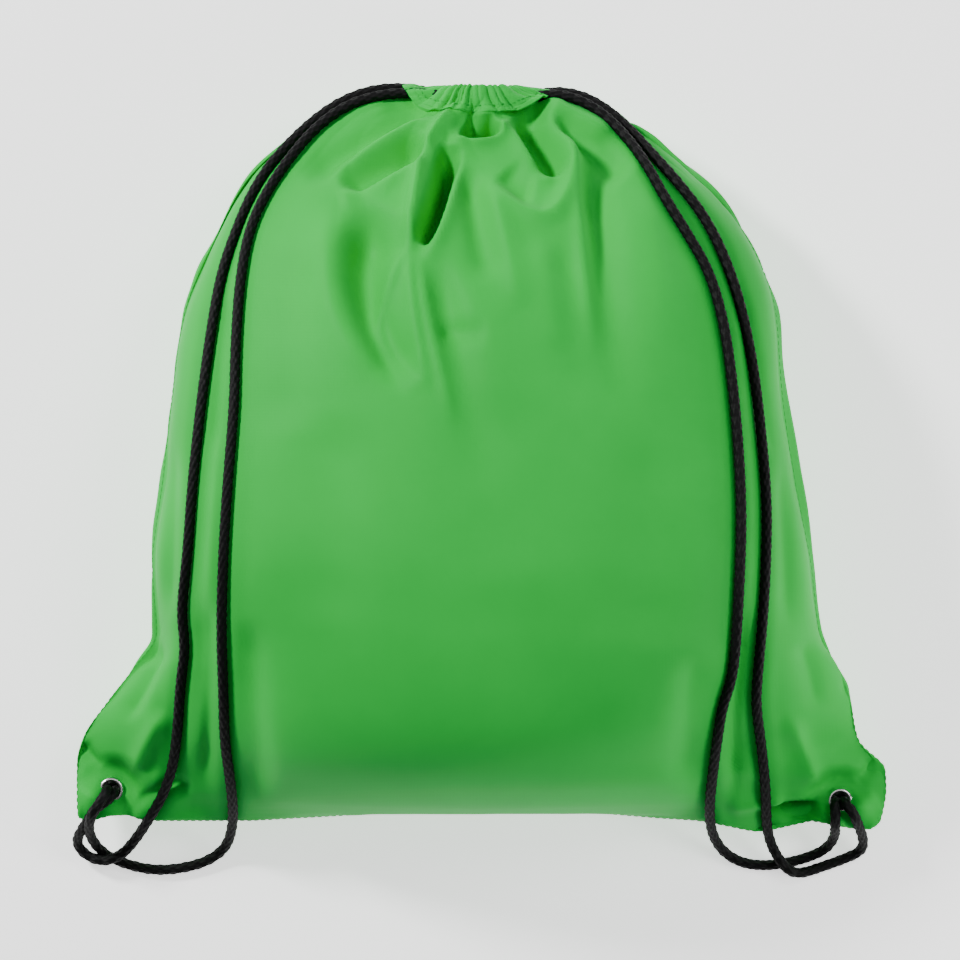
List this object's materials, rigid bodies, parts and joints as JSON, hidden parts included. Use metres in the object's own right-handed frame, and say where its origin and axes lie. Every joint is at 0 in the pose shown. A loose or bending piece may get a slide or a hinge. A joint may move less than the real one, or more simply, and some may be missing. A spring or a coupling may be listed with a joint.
{
  "type": "drawstring backpack",
  "caption": "Drawstring backpack of two sewn fabric panels with a gathered mouth, braided cord straps and metal corner eyelets, lying on its back",
  "frame": {"origin": "middle of the bag's own box in X and Y, on the surface that the bag's back lies on", "axes": "+X across the bag to the viewer's right, +Y from the bottom seam to the gathered mouth, +Z out of the bag's front"},
  "size_m": [0.3479, 0.3396, 0.1233],
  "materials": {
    "green_fabric": "woven polyester with a soft sheen",
    "green_thread": "spun polyester sewing thread",
    "black_cord": "round braid with a slight gloss",
    "eyelet_metal": "bright nickel plate"
  },
  "bodies": {
    "bag": {"front_panel": "green_fabric", "back_panel": "green_fabric", "front_channel": "green_fabric", "back_channel": "green_fabric", "front_hem_stitching": "green_thread", "back_hem_stitching": "green_thread", "left_seam_stitching": "green_thread", "right_seam_stitching": "green_thread", "bottom_seam_stitching": "green_thread", "left_slot_bartack": "green_thread", "right_slot_bartack": "green_thread", "left_channel_cord": "black_cord", "right_channel_cord": "black_cord", "left_inner_strand": "black_cord", "left_outer_strand": "black_cord", "right_inner_strand": "black_cord", "right_outer_strand": "black_cord", "left_eyelet": "eyelet_metal", "left_eyelet_washer": "eyelet_metal", "right_eyelet": "eyelet_metal", "right_eyelet_washer": "eyelet_metal"},
    "left_knot": {"left_knot": "black_cord", "left_tail_a": "black_cord", "left_tail_b": "black_cord"},
    "right_knot": {"right_knot": "black_cord", "right_tail_a": "black_cord", "right_tail_b": "black_cord"}
  },
  "joints": [
    {"name": "left_knot_slide", "type": "slide", "parent": "bag", "child": "left_knot", "axis": [0, 0, -1], "range_m": [0, 0.004]},
    {"name": "right_knot_slide", "type": "slide", "parent": "bag", "child": "right_knot", "axis": [0, 0, -1], "range_m": [0, 0.004]}
  ]
}
